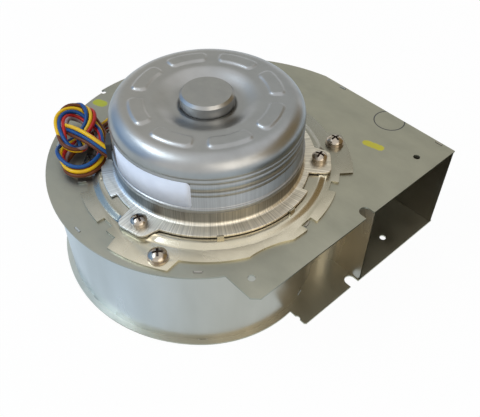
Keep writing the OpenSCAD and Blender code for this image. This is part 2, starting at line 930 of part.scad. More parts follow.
// One blade's section: a strip of an arc whose hollow side leads
module blade_section() {
    intersection() {
        difference() {
            circle(blade_tip_r);
            circle(blade_heel_r);
        }
        translate([blade_c_r, 0]) difference() {
            circle(blade_arc_r + blade_t / 2);
            circle(blade_arc_r - blade_t / 2);
        }
        square([far, far]);
    }
}

module impeller_blades() {
    color("lightgray")
    for (i = [0 : blade_count - 1]) {
        rotate(i * 360 / blade_count) translate([0, 0, blade_z])
            linear_extrude(plate_z - blade_z) blade_section();
    }
}

module impeller_end_ring() {
    color("silver")
    translate([0, 0, end_ring_z]) linear_extrude(wheel_sheet_t) difference() {
        circle(wheel_r);
        circle(blade_heel_r + 1);
    }
}

module hub_washer() {
    color("lightgray")
    translate([0, 0, hub_bottom - hub_washer_t]) difference() {
        cylinder(r = hub_washer_r, h = hub_washer_t);
        translate([0, 0, -1]) cylinder(r = thread_r + fit_gap, h = hub_washer_t + 2);
    }
}

module hub_nut() {
    color("gainsboro")
    translate([0, 0, hub_bottom - hub_washer_t - nut_h]) difference() {
        cylinder(r = nut_af / sqrt(3), h = nut_h, $fn = 6);
        translate([0, 0, -1]) cylinder(r = thread_r, h = nut_h + 2);
    }
}

// ---------------------------------------------------------------- leads

module lead_grommet() {
    color("black")
    rotate(grommet_angle) {
        difference() {
            translate([can_r, -grommet_w / 2, band_z + 0.5])
                cube([grommet_out - can_r, grommet_w, zt + 17 - band_z - 0.5]);
            translate([0, 0, band_z - 5]) cylinder(r = lip_r + 0.1, h = far);
        }
        translate([can_r - can_t - 0.2, -lead_slot_w / 2 + 0.1, can_z + 0.2])
            cube([2.4, lead_slot_w - 0.2, lead_slot_h - 0.4]);
    }
}

// A tube of eight sides swept along a route
function unit(v) = v / norm(v);
function heading(route, i) =
    i == 0 ? unit(route[1] - route[0]) :
    i == len(route) - 1 ? unit(route[i] - route[i - 1]) :
    unit(unit(route[i] - route[i - 1]) + unit(route[i + 1] - route[i]));
function ring_points(p, d, r, sides) =
    let (side = unit(cross(d, [0, 0, 1])), up = cross(side, d))
    [for (k = [0 : sides - 1]) p + r * (cos(k * 360 / sides) * side + sin(k * 360 / sides) * up)];

module swept_tube(route, r) {
    sides = 8;
    n = len(route);
    points = [for (i = [0 : n - 1]) each ring_points(route[i] + [0, 0, zt], heading(route, i), r, sides)];
    walls = [for (i = [0 : n - 2], k = [0 : sides - 1]) [
        i * sides + k, i * sides + (k + 1) % sides,
        (i + 1) * sides + (k + 1) % sides, (i + 1) * sides + k
    ]];
    start = [[for (k = [sides - 1 : -1 : 0]) k]];
    end = [[for (k = [0 : sides - 1]) (n - 1) * sides + k]];
    polyhedron(points, concat(walls, start, end));
}

module lead_loop() {
    color("royalblue") swept_tube(loop_route, bundle_r);
}

module lead_tail() {
    color("gold") swept_tube(tail_route, bundle_r);
}

module coil_oval(inset) {
    $fn = 32;
    hull() {
        translate(coil_a) circle(coil_a_r - inset);
        translate(coil_b) circle(coil_b_r - inset);
    }
}

module lead_coil() {
    color("crimson")
    translate([0, 0, zt + coil_z]) linear_extrude(coil_h) difference() {
        coil_oval(0);
        coil_oval(coil_width);
    }
}

module lead_connector() {
    color("ivory")
    translate([connector_c.x, connector_c.y, zt]) rotate(connector_turn) difference() {
        translate([-connector_size.x / 2, -connector_size.y / 2, 0]) cube(connector_size);
        for (i = [-2 : 2]) {
            translate([connector_size.x / 2 - 7, i * 2.5 - 0.9, 2]) cube([8, 1.8, 2.2]);
        }
    }
}

motor_side_plate();
inlet_side_plate();
inlet_ring();
scroll_wall();
mounting_ring();
ring_screws();
motor_gasket();
motor_bracket();
ear_screws();
motor_can();
bearing_cap();
wave_washer();
upper_bearing();
lower_bearing();
stator_core();
end_insulator();
stator_coils();
circuit_board();
board_parts();
rotor_core();
rotor_magnet();
motor_shaft();
shaft_spacers();
impeller_hub();
hub_rivets();
impeller_plate();
impeller_blades();
impeller_end_ring();
hub_washer();
hub_nut();
lead_grommet();
lead_loop();
lead_coil();
lead_tail();
lead_connector();
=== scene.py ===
import math

import bmesh
import bpy
from mathutils import Matrix, Vector


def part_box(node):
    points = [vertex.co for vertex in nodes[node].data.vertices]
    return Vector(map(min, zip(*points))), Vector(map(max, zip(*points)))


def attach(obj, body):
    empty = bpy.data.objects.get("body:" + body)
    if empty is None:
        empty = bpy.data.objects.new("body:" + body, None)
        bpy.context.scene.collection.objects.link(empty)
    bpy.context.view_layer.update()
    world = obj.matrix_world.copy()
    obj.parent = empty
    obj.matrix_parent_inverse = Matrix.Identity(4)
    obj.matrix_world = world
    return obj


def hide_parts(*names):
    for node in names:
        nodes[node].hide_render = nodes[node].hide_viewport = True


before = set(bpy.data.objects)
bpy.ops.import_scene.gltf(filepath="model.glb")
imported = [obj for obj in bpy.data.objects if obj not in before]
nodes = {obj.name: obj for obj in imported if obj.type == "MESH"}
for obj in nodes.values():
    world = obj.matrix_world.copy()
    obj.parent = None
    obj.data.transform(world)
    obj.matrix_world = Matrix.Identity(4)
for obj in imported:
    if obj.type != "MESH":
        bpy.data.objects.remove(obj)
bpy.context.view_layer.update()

# ---------------------------------------------------------------- camera
# The blower lies on its inlet side. It is seen from above, from beyond the near corner of
# its outlet, with a normal lens.
camera_place = (0.1657, -0.1322, 0.2414)
camera_heading = math.radians(137.55)
camera_pitch = math.radians(46.55)
camera_roll = math.radians(0.42)
camera_data = bpy.data.cameras.new("camera")
camera_data.lens = 45.81
camera_data.sensor_width = 36
camera_data.clip_start = 0.01
camera_data.clip_end = 20
camera = bpy.data.objects.new("camera", camera_data)
bpy.context.scene.collection.objects.link(camera)
camera.matrix_world = (
    Matrix.Translation(camera_place)
    @ Matrix.Rotation(camera_heading - math.pi / 2, 4, "Z")
    @ Matrix.Rotation(math.pi / 2 - camera_pitch, 4, "X")
    @ Matrix.Rotation(camera_roll, 4, "Z")
)
bpy.context.scene.camera = camera

# ---------------------------------------------------------------- casing
# Two side plates, a scroll wall and a spun inlet ring, all of galvanised steel sheet. The
# wall's lugs go through slots in the plates. Two dabs of yellow paint and a bare ring of ink
# were left on the outside of the plate on the motor side.
mm = 0.001
casing_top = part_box("motor_side_plate")[1][2]
sheet_light = (0.40, 0.395, 0.33, 1)
sheet_dark = (0.33, 0.33, 0.275, 1)

# Each dab of paint: where its brush stroke starts and ends and how wide it is, in mm in the
# plan, and its colour
paint_dabs = [
    ((38.1, 64.6), (48.6, 67.6), 4.0, (0.52, 0.46, 0.03, 1)),
    ((-76.0, -14.5), (-68.5, -11.5), 5.0, (0.40, 0.42, 0.02, 1)),
]
ink_x, ink_y = 36.6 * mm, 87.0 * mm
ink_r = 7.6 * mm
ink_w = 0.55 * mm
ink_colour = (0.03, 0.03, 0.035, 1)
ink_patches_per_m = 260
ink_worn_below = 0.36


def new_group(name, inputs, outputs):
    """A node group with these names and kinds of inputs and outputs, and the sockets inside
    it for what it takes and for what it gives."""
    group = bpy.data.node_groups.new(name, "ShaderNodeTree")
    for way, sockets in (("INPUT", inputs), ("OUTPUT", outputs)):
        for label, kind in sockets.items():
            group.interface.new_socket(label, in_out=way, socket_type=f"NodeSocket{kind}")
    taken = group.nodes.new("NodeGroupInput").outputs
    given = group.nodes.new("NodeGroupOutput").inputs
    return group, taken, given


def feed(tree, socket, value):
    """Links another node's output to a socket, or sets the socket to a plain value."""
    if isinstance(value, bpy.types.NodeSocket):
        tree.links.new(value, socket)
    else:
        socket.default_value = value


def place_group(tree, group, values):
    """Places a node group with these values at its inputs, and gives its outputs."""
    node = tree.nodes.new("ShaderNodeGroup")
    node.node_tree = group
    for label, value in values.items():
        feed(tree, node.inputs[label], value)
    return node.outputs


def math_of(tree, operation, *values):
    """What a Math node makes of these values."""
    node = tree.nodes.new("ShaderNodeMath")
    node.operation = operation
    for socket, value in zip(node.inputs, values):
        feed(tree, socket, value)
    return node.outputs[0]


def ramp(tree, value, start, end, low=0.0, high=1.0, easing="LINEAR"):
    """Goes from low to high as the value goes from start to end, and no further."""
    node = tree.nodes.new("ShaderNodeMapRange")
    node.interpolation_type = easing
    for label, level in (("Value", value), ("From Min", start), ("From Max", end),
                         ("To Min", low), ("To Max", high)):
        feed(tree, node.inputs[label], level)
    return node.outputs["Result"]


def mixed(tree, part, first, second, kind="RGBA", blend="MIX"):
    """Goes from the first value to the second as the part goes from 0 to 1."""
    node = tree.nodes.new("ShaderNodeMix")
    node.data_type = kind
    node.blend_type = blend
    sockets = [socket for socket in node.inputs if socket.enabled]
    for socket, value in zip(sockets, (part, first, second)):
        feed(tree, socket, value)
    return next(socket for socket in node.outputs if socket.enabled)


def mottle(tree, point, scale, detail=2.0):
    """Soft noise over the surface, between 0 and 1."""
    node = tree.nodes.new("ShaderNodeTexNoise")
    for label, value in (("Vector", point), ("Scale", scale), ("Detail", detail)):
        feed(tree, node.inputs[label], value)
    return node.outputs["Fac"]


def raised(tree, height, depth):
    """A Bump node that raises the surface by this depth where the height is 1."""
    node = tree.nodes.new("ShaderNodeBump")
    feed(tree, node.inputs["Distance"], depth)
    feed(tree, node.inputs["Height"], height)
    return node


def axes(tree, point):
    """The X, Y and Z of a point."""
    split = tree.nodes.new("ShaderNodeSeparateXYZ")
    feed(tree, split.inputs["Vector"], point)
    return tuple(split.outputs)


def span(tree, across, along):
    """The length of a line that reaches this far in two directions at right angles."""
    squares = [math_of(tree, "POWER", reach, 2) for reach in (across, along)]
    return math_of(tree, "POWER", math_of(tree, "ADD", *squares), 0.5)


# Soft blotches and a fine grain, for every finish here
variation, taken, given = new_group(
    "surface_variation", {"Vector": "Vector", "Blotches": "Float", "Grains": "Float"},
    {"Blotch": "Float", "Grain": "Float"},
)
blotches = mottle(variation, taken["Vector"], taken["Blotches"], detail=3.0)
grains = mottle(variation, taken["Vector"], taken["Grains"])
feed(variation, given["Blotch"], ramp(variation, blotches, 0.3, 0.7))
feed(variation, given["Grain"], ramp(variation, grains, 0.25, 0.75))

# Painted light and shade: a tint that multiplies the colour under it, from a first tint at one
# distance in a direction to a second at another
light_paint, taken, given = new_group(
    "painted_light_tint", {"Colour": "Color", "First": "Color", "Second": "Color", "Vector": "Vector",
                  "Direction": "Vector", "Start": "Float", "End": "Float"},
    {"Colour": "Color"},
)
along = light_paint.nodes.new("ShaderNodeVectorMath")
along.operation = "DOT_PRODUCT"
feed(light_paint, along.inputs[0], taken["Vector"])
feed(light_paint, along.inputs[1], taken["Direction"])
part = ramp(light_paint, along.outputs["Value"], taken["Start"], taken["End"], easing="SMOOTHSTEP")
tint = mixed(light_paint, part, taken["First"], taken["Second"])
feed(light_paint, given["Colour"], mixed(light_paint, 1.0, taken["Colour"], tint, blend="MULTIPLY"))

# A thin coat that isn't metal, or painted shade, laid where the mask is 1 over what is under it
coat_or_shade_group, taken, given = new_group(
    "thin_coat_or_painted_shade", {"Mask": "Float", "Base Color": "Color", "Roughness": "Float",
                  "Metallic": "Float", "Coat Or Shade Colour": "Color", "Coat Roughness": "Float"},
    {"Base Color": "Color", "Roughness": "Float", "Metallic": "Float"},
)
for label, kind, top in (("Base Color", "RGBA", taken["Coat Or Shade Colour"]), ("Metallic", "FLOAT", 0.0),
                         ("Roughness", "FLOAT", taken["Coat Roughness"])):
    feed(coat_or_shade_group, given[label], mixed(coat_or_shade_group, taken["Mask"], taken[label], top, kind))


def finish(name, colour, aged, blotch, grain, rough, metallic=0.0, relief=0.0, stretch=(1, 1, 1)):
    """A surface that varies between two colours and in gloss in blotches, and in relief with
    its grain. Blotch and grain are the sizes of those in metres, and relief is the depth."""
    material = bpy.data.materials.new(name)
    material.use_nodes = True
    tree = material.node_tree
    coordinates = tree.nodes.new("ShaderNodeTexCoord")
    coordinates.name = "coordinates"
    mapping = tree.nodes.new("ShaderNodeMapping")
    feed(tree, mapping.inputs["Scale"], stretch)
    feed(tree, mapping.inputs["Vector"], coordinates.outputs["Object"])
    spread = place_group(tree, variation, {"Vector": mapping.outputs["Vector"],
                                           "Blotches": 1 / blotch, "Grains": 1 / grain})
    shader = tree.nodes["Principled BSDF"]
    feed(tree, shader.inputs["Base Color"], mixed(tree, spread["Blotch"], colour, aged))
    feed(tree, shader.inputs["Metallic"], metallic)
    feed(tree, shader.inputs["Roughness"], ramp(tree, spread["Blotch"], 0.0, 1.0, *rough))
    bump = raised(tree, spread["Grain"], relief)
    feed(tree, shader.inputs["Normal"], bump.outputs["Normal"])
    return material


def dress(material, *names):
    """Gives the material to every slot of these CAD nodes."""
    for name in names:
        for slot in nodes[name].material_slots:
            slot.material = material


def surface_point(tree):
    """The point of the piece that is coloured, in the piece's own axes."""
    return tree.nodes["coordinates"].outputs["Object"]


def fed_to(socket):
    """What a socket has now: another node's output, or a plain value."""
    return socket.links[0].from_socket if socket.links else socket.default_value


def paint_light_across(material, first, second, start, end, heading=None):
    """Paints light and shade into the material's colour, as a tint that changes from the first to
    the second colour along this heading in degrees, between two distances in mm from the motor's
    axis. Without a heading it changes upwards, between two heights."""
    tree = material.node_tree
    direction = (0, 0, 1)
    if heading is not None:
        direction = (math.cos(math.radians(heading)), math.sin(math.radians(heading)), 0)
    colour = tree.nodes["Principled BSDF"].inputs["Base Color"]
    tinted = place_group(tree, light_paint, {
        "Colour": fed_to(colour), "First": (*first, 1), "Second": (*second, 1),
        "Vector": surface_point(tree), "Direction": direction, "Start": start * mm,
        "End": end * mm,
    })
    feed(tree, colour, tinted["Colour"])


def coat_or_shade(material, mask, colour, rough):
    """Lays a thin coat that isn't metal, or painted shade, over the material where the mask is 1."""
    tree = material.node_tree
    covered = [tree.nodes["Principled BSDF"].inputs[label]
               for label in ("Base Color", "Roughness", "Metallic")]
    coated = place_group(tree, coat_or_shade_group, {
        "Mask": mask, "Coat Or Shade Colour": colour, "Coat Roughness": rough,
        **{socket.name: fed_to(socket) for socket in covered},
    })
    for socket in covered:
        feed(tree, socket, coated[socket.name])


def on_outer_face(tree, mask):
    """Keeps a mask to the outer face of the plate on the motor side."""
    skin = 0.2 * mm
    _, _, z = axes(tree, surface_point(tree))
    outer = math_of(tree, "GREATER_THAN", z, casing_top - skin)
    return math_of(tree, "MULTIPLY", mask, outer)


def stroke_mask(tree, from_point, to_point, width):
    """1 inside a brush stroke on the plate, with a ragged edge, and 0 outside it."""
    bristles_per_m = 900
    ragged = 0.9 * mm
    start, end = Vector(from_point) * mm, Vector(to_point) * mm
    along = (end - start).normalized()
    mapping = tree.nodes.new("ShaderNodeMapping")
    mapping.vector_type = "TEXTURE"
    feed(tree, mapping.inputs["Location"], (*((start + end) / 2), 0))
    feed(tree, mapping.inputs["Rotation"], (0, 0, math.atan2(along.y, along.x)))
    feed(tree, mapping.inputs["Vector"], surface_point(tree))
    x, y, _ = axes(tree, mapping.outputs["Vector"])
    half = (end - start).length / 2 - width * mm / 2
    beyond = math_of(tree, "SUBTRACT", math_of(tree, "ABSOLUTE", x), half)
    off = span(tree, math_of(tree, "MAXIMUM", beyond, 0), y)
    rag = math_of(tree, "MULTIPLY", mottle(tree, surface_point(tree), bristles_per_m), ragged)
    edge = (width / 2 + 0.45) * mm
    soft = 0.3 * mm
    mask = ramp(tree, math_of(tree, "ADD", off, rag), edge + soft, edge - soft)
    return on_outer_face(tree, mask)


plate_sheet = finish("galvanised_plate", sheet_light, sheet_dark, blotch=0.012, grain=0.0007,
                     rough=(0.34, 0.46), metallic=1.0, relief=0.000003, stretch=(0.6, 1, 1))
# Painted light: cooler and darker one way along the 45 degree heading, warmer and lighter the other
paint_light_across(plate_sheet, (0.92, 0.93, 0.96), (1.02, 1.01, 0.97), heading=45, start=-80, end=80)
dress(plate_sheet, "inlet_ring")
inlet_sheet = plate_sheet.copy()
inlet_sheet.name = "galvanised_inlet_plate"
# Painted light: this copy of the plate is made brighter and bluish, shading to warmer along the -15
# degree heading
paint_light_across(inlet_sheet, (1.6, 1.7, 1.85), (1.3, 1.25, 1.2), heading=-15, start=-60, end=60)
dress(inlet_sheet, "inlet_side_plate")
wall_sheet = finish("galvanised_wall", (0.56, 0.57, 0.57, 1), (0.47, 0.48, 0.47, 1), blotch=0.02,
                    grain=0.0007, rough=(0.24, 0.34), metallic=1.0, relief=0.000003,
                    stretch=(1, 1, 0.25))
# Painted reflection: bluish towards -x and warm gold towards +x; painted shade: darker towards the
# flank along the 45 degree heading
paint_light_across(wall_sheet, (0.84, 0.88, 0.92), (1.0, 1.0, 1.0), heading=0, start=-35, end=8)
paint_light_across(wall_sheet, (1.02, 1.06, 1.10), (1.03, 0.93, 0.80), heading=0, start=12, end=62)
paint_light_across(wall_sheet, (1.0, 1.0, 1.0), (0.80, 0.80, 0.80), heading=45, start=30, end=46)
dress(wall_sheet, "scroll_wall")

marked_plate = plate_sheet.copy()
marked_plate.name = "galvanised_plate_marked"
tree = marked_plate.node_tree
for start, end, width, colour in paint_dabs:
    coat_or_shade(marked_plate, stroke_mask(tree, start, end, width), colour, rough=0.55)
x, y, _ = axes(tree, surface_point(tree))
from_centre = span(tree, math_of(tree, "SUBTRACT", x, ink_x), math_of(tree, "SUBTRACT", y, ink_y))
from_line = math_of(tree, "ABSOLUTE", math_of(tree, "SUBTRACT", from_centre, ink_r))
inked = math_of(tree, "LESS_THAN", from_line, ink_w / 2)
wear = mottle(tree, surface_point(tree), ink_patches_per_m)
unworn = math_of(tree, "GREATER_THAN", wear, ink_worn_below)
ink = on_outer_face(tree, math_of(tree, "MULTIPLY", inked, unworn))
coat_or_shade(marked_plate, ink, ink_colour, rough=0.5)
dress(marked_plate, "motor_side_plate")

# ---------------------------------------------------------------- mounting ring and screws
# A pressed ring of bright zinc-plated steel. It carries the motor on a raised land and is
# held to the casing by three pan-head screws with washers. Three more hold the motor.
ring_edge = 0.5 * mm
ring_screws_at = 60.8 * mm
ear_screws_at = 50.5 * mm
recess_r = 2.3 * mm
recess_rim = 0.7 * mm
# Colour of the painted shade in the screws' cross recesses
recess_shade_colour = (0.09, 0.06, 0.045, 1)


def new_piece(name, form):
    """An object at the origin made of a finished bmesh, which is then freed."""
    mesh = bpy.data.meshes.new(name)
    form.to_mesh(mesh)
    form.free()
    mesh.shade_smooth()
    piece = bpy.data.objects.new(name, mesh)
    bpy.context.scene.collection.objects.link(piece)
    return piece


def soften(name, width, material):
    """Puts a pressing in the place of this CAD node, like it but of this material and with
    its upper edges rounded to this width."""
    form = bmesh.new()
    form.from_mesh(nodes[name].data)
    bmesh.ops.remove_doubles(form, verts=form.verts, dist=0.001 * mm)
    bmesh.ops.dissolve_limit(form, angle_limit=math.radians(1), verts=form.verts, edges=form.edges)
    upper_edges = [
        edge for edge in form.edges
        if edge.is_manifold and edge.calc_face_angle(0) > math.radians(50)
        and edge.is_convex and max(face.normal.z for face in edge.link_faces) > 0.7
    ]
    bmesh.ops.bevel(form, geom=upper_edges, offset=width, offset_type="OFFSET", affect="EDGES",
                    segments=3, profile=0.5, material=-1, clamp_overlap=True)
    piece = new_piece(f"{name}_softened", form)
    piece.data.set_sharp_from_angle(angle=math.radians(40))
    piece.data.materials.append(material)
    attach(piece, "housing")
    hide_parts(name)


ring_steel = finish("plated_ring", (0.46, 0.455, 0.40, 1), (0.38, 0.375, 0.32, 1), blotch=0.012,
                    grain=0.0006, rough=(0.22, 0.32), metallic=1.0, relief=0.000002)
# Painted light: cool to warm along the -15 degree heading; painted highlight: brighter on the front
# of the ring along the -25 degree heading, darker at the back
paint_light_across(ring_steel, (0.95, 1.0, 1.07), (1.05, 1.0, 0.93), heading=-15, start=-50, end=50)
paint_light_across(ring_steel, (0.84, 0.84, 0.83), (1.38, 1.34, 1.28), heading=-25, start=15, end=58)
soften("mounting_ring", ring_edge, ring_steel)

# Where the cross recesses of three screws are, a third of a turn apart and below a height, to paint
# shade into them
recesses, taken, given = new_group(
    "screw_recesses", {"Vector": "Vector", "First Angle": "Float", "From Axis": "Float",
                       "Rim Height": "Float"},
    {"Mask": "Float"},
)
third = 2 * math.pi / 3
x, y, z = axes(recesses, taken["Vector"])
turn = math_of(recesses, "SUBTRACT", math_of(recesses, "ARCTAN2", y, x), taken["First Angle"])
turn = math_of(recesses, "FLOORED_MODULO", math_of(recesses, "ADD", turn, third / 2), third)
turn = math_of(recesses, "SUBTRACT", turn, third / 2)
reach = span(recesses, x, y)
outward = math_of(recesses, "MULTIPLY", reach, math_of(recesses, "COSINE", turn))
outward = math_of(recesses, "SUBTRACT", outward, taken["From Axis"])
aside = math_of(recesses, "MULTIPLY", reach, math_of(recesses, "SINE", turn))
inside = math_of(recesses, "LESS_THAN", span(recesses, outward, aside), recess_r)
under = math_of(recesses, "LESS_THAN", z, taken["Rim Height"])
feed(recesses, given["Mask"], math_of(recesses, "MULTIPLY", inside, under))


def paint_recess_shade(material, name, first_angle, from_axis):
    """Paints shade into the cross recesses of these three screws, darkening their colour."""
    tree = material.node_tree
    mask = place_group(tree, recesses, {
        "Vector": surface_point(tree), "First Angle": math.radians(first_angle),
        "From Axis": from_axis, "Rim Height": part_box(name)[1][2] - recess_rim,
    })["Mask"]
    coat_or_shade(material, mask, recess_shade_colour, rough=0.45)


screw_steel = finish("plated_screws", (0.50, 0.44, 0.37, 1), (0.36, 0.31, 0.25, 1), blotch=0.002,
                     grain=0.0004, rough=(0.16, 0.28), metallic=1.0, relief=0.000002)
ear_screw_steel = screw_steel.copy()
ear_screw_steel.name = "plated_ear_screws"
# Painted shade: the insides of the screws' cross recesses are darkened in their colour
paint_recess_shade(screw_steel, "ring_screws", first_angle=60, from_axis=ring_screws_at)
paint_recess_shade(ear_screw_steel, "ear_screws", first_angle=44.8, from_axis=ear_screws_at)
dress(screw_steel, "ring_screws")
dress(ear_screw_steel, "ear_screws")

# ---------------------------------------------------------------- motor gasket and bracket
# A thin rubber gasket lies under the motor's drawn steel bracket, whose flange has three ears.
# Drawing left fine upright lines round its band, which turn outwards on the flange. Painted
# light makes the flange bright, and painted shade makes the band over it duller.
bracket_edge = 0.2 * mm
line_fade = 6 * mm
flange_top = casing_top / mm + 4.7
rubber = finish("gasket_rubber", (0.02, 0.02, 0.02, 1), (0.035, 0.035, 0.033, 1), blotch=0.006,
                grain=0.0005, rough=(0.55, 0.75), relief=0.00002)
dress(rubber, "motor_gasket")

# Fine lines that all point at the axis, up to a height, above which they fade out
drawn, taken, given = new_group(
    "drawn_lines", {"Vector": "Vector", "Lines": "Float", "Height": "Float"}, {"Line": "Float"},
)
x, y, z = axes(drawn, taken["Vector"])
flat = drawn.nodes.new("ShaderNodeCombineXYZ")
feed(drawn, flat.inputs["X"], x)
feed(drawn, flat.inputs["Y"], y)
outward = drawn.nodes.new("ShaderNodeVectorMath")
outward.operation = "NORMALIZE"
feed(drawn, outward.inputs[0], flat.outputs["Vector"])
line = ramp(drawn, mottle(drawn, outward.outputs["Vector"], taken["Lines"]), 0.3, 0.7)
above = math_of(drawn, "SUBTRACT", z, taken["Height"])
feed(drawn, given["Line"], math_of(drawn, "MULTIPLY", line, ramp(drawn, above, line_fade, 0)))


def add_drawn_lines(material, lines, height, depth, shade):
    """Fine lines that run up the sides and outwards on the flats of a drawn shell, and fade
    out over this height. They stand out by the depth and multiply the colour by the shade."""
    tree = material.node_tree
    shader = tree.nodes["Principled BSDF"]
    colour, normal = shader.inputs["Base Color"], shader.inputs["Normal"]
    line = place_group(tree, drawn, {"Vector": surface_point(tree), "Lines": lines,
                                     "Height": height})["Line"]
    bump = raised(tree, line, depth)
    feed(tree, bump.inputs["Normal"], fed_to(normal))
    feed(tree, normal, bump.outputs["Normal"])
    shaded = mixed(tree, line, fed_to(colour), (shade, shade, shade, 1), blend="MULTIPLY")
    feed(tree, colour, shaded)


bracket_steel = finish("drawn_bracket", (0.78, 0.775, 0.765, 1), (0.68, 0.675, 0.66, 1),
                       blotch=0.01, grain=0.0006, rough=(0.34, 0.44), metallic=1.0,
                       relief=0.000002)
add_drawn_lines(bracket_steel, lines=84, height=casing_top + 20 * mm, depth=0.00002, shade=0.58)
# Painted light: bluish to warm along x; by height, painted light on the flange and painted shade on
# the band over it
paint_light_across(bracket_steel, (0.86, 0.98, 1.10), (1.06, 0.98, 0.82), heading=0, start=-42, end=42)
paint_light_across(bracket_steel, (1.1, 1.1, 1.1), (0.42, 0.42, 0.42), start=flange_top,
            end=flange_top + 1.1)
soften("motor_bracket", bracket_edge, bracket_steel)

# ---------------------------------------------------------------- bearings
# Two shielded ball bearings of polished steel carry the shaft, one in the bracket and one in
# the cap on the can. A sprung wave washer loads the upper one.
bearing_steel = finish("bearing_steel", (0.55, 0.55, 0.56, 1), (0.46, 0.46, 0.47, 1), blotch=0.004,
                       grain=0.0004, rough=(0.14, 0.24), metallic=1.0, relief=0.000004)
dress(bearing_steel, "upper_bearing", "lower_bearing", "wave_washer")

# ---------------------------------------------------------------- stator
# A stack of electrical steel with a moulded insulator on each tooth, wound with enamelled
# copper wire, and under it the drive board with its parts.
lamination = finish("laminations", (0.24, 0.24, 0.26, 1), (0.15, 0.14, 0.14, 1), blotch=0.006,
                    grain=0.0005, rough=(0.38, 0.55), metallic=1.0, relief=0.00006,
                    stretch=(0.1, 0.1, 1))
dress(lamination, "stator_core", "rotor_core")
nylon = finish("insulator_nylon", (0.62, 0.58, 0.46, 1), (0.54, 0.49, 0.38, 1), blotch=0.008,
               grain=0.0005, rough=(0.42, 0.55), relief=0.00001)
dress(nylon, "end_insulator")
copper = finish("enamelled_copper", (0.50, 0.19, 0.075, 1), (0.36, 0.12, 0.045, 1), blotch=0.004,
                grain=0.0004, rough=(0.22, 0.34), metallic=1.0, relief=0.00012, stretch=(1, 1, 2))
dress(copper, "stator_coils")
board = finish("board_laminate", (0.02, 0.10, 0.045, 1), (0.03, 0.13, 0.06, 1), blotch=0.004,
               grain=0.0006, rough=(0.28, 0.42), relief=0.00001)
dress(board, "circuit_board")
parts_plastic = finish("board_parts", (0.03, 0.03, 0.033, 1), (0.055, 0.055, 0.055, 1),
                       blotch=0.003, grain=0.0004, rough=(0.35, 0.5), relief=0.00001)
dress(parts_plastic, "board_parts")

# ---------------------------------------------------------------- rotor
# A ferrite ring magnet on a core of electrical steel, held on the ground shaft by distance
# tubes between the two bearings. The shaft runs down into the casing, where a washer and a
# nut hold the impeller's hub on it.
ferrite = finish("ferrite", (0.045, 0.043, 0.042, 1), (0.07, 0.066, 0.06, 1), blotch=0.004,
                 grain=0.0004, rough=(0.45, 0.6), relief=0.00002)
dress(ferrite, "rotor_magnet")
ground_steel = finish("ground_steel", (0.56, 0.56, 0.56, 1), (0.46, 0.46, 0.46, 1), blotch=0.003,
                      grain=0.0003, rough=(0.12, 0.22), metallic=1.0, relief=0.000004,
                      stretch=(1, 1, 4))
dress(ground_steel, "motor_shaft", "shaft_spacers", "hub_washer", "hub_nut")

# ---------------------------------------------------------------- impeller
# Forty rolled blades between a dished back plate and an end ring, all of galvanised sheet,
# and a die-cast hub riveted to the plate.
wheel_sheet = finish("wheel_sheet", (0.47, 0.47, 0.45, 1), (0.36, 0.36, 0.33, 1), blotch=0.005,
                     grain=0.0006, rough=(0.28, 0.42), metallic=1.0, relief=0.00002)
dress(wheel_sheet, "impeller_plate", "impeller_blades", "impeller_end_ring")
cast_alloy = finish("cast_alloy", (0.50, 0.50, 0.51, 1), (0.40, 0.40, 0.40, 1), blotch=0.003,
                    grain=0.0007, rough=(0.40, 0.55), metallic=1.0, relief=0.00005)
dress(cast_alloy, "impeller_hub", "hub_rivets")

# ---------------------------------------------------------------- motor can
# A deep-drawn steel can with a dull zinc finish, 0.8 mm thick. Eight raised pads stiffen its
# top round a dish, and rolled grooves and a lip go round its foot, which the leads come out
# of. A pressed cap closes the dish over the upper bearing. Its sizes are in mm.
can_r = 42.5
can_t = 0.8
can_rise = 37
can_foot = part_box("motor_can")[0][2] / mm
can_top = casing_top / mm + can_rise
can_h = can_top - can_foot
can_steps = 360
lip_r, lip_h, lip_corner, lip_fillet = can_r + 0.9, 2.1, 0.2, 0.3
groove_heights = (7.45, 9.85, 14.25, 16.65)
groove_w, groove_depth, groove_slope = 1.3, 0.25, 0.25
shoulder_r, shoulder_steps = 7.5, 12
# The level land round the top that the pads are raised on, in fine rings for their edges
land_r, land_step, land_rings = 34.6, 0.55, 19
# The dish goes down from the first radius to the second, and on to the hole for the cap
dish_r, dish_floor_r, dish_depth = 24.0, 14.6, 2.9
dish_step, dish_rings = 0.8, 14
cap_hole_r = 12.0
pad_count, pad_r, pad_h = 8, 30.0, 0.75
pad_half_l, pad_half_w, pad_corner = 8.9, 3.3, 2.4
# Width of a pad's sloping edge, and the share of it that lies outside the pad's outline
pad_edge, pad_spread = 1.5, 0.4
slot_half_w, slot_h = 4.0, 4.8
slot_angle = math.radians(-129)


def eased(part):
    """Goes smoothly from 0 to 1 with the part, and no further."""
    part = min(max(part, 0), 1)
    return part * part * (3 - 2 * part)


# Outside of the can, from the rim of its foot up the side and in to the hole for the cap
can_outline = [(lip_r, 0), (lip_r, lip_h - lip_corner), (lip_r - lip_corner, lip_h),
               (can_r + lip_fillet, lip_h), (can_r, lip_h + lip_fillet)]
for height in groove_heights:
    can_outline += [
        (can_r, height), (can_r - groove_depth, height + groove_slope),
        (can_r - groove_depth, height + groove_w - groove_slope), (can_r, height + groove_w),
    ]
for i in range(shoulder_steps + 1):
    turn = math.radians(90 * i / shoulder_steps)
    can_outline.append((can_r - shoulder_r + shoulder_r * math.cos(turn),
                        can_h - shoulder_r + shoulder_r * math.sin(turn)))
can_outline += [(land_r - land_step * i, can_h) for i in range(land_rings)]
for r in [dish_r - dish_step * i for i in range(dish_rings)] + [cap_hole_r]:
    depth = dish_depth * (1 - eased((r - dish_floor_r) / (dish_r - dish_floor_r)))
    can_outline.append((r, can_h - depth))

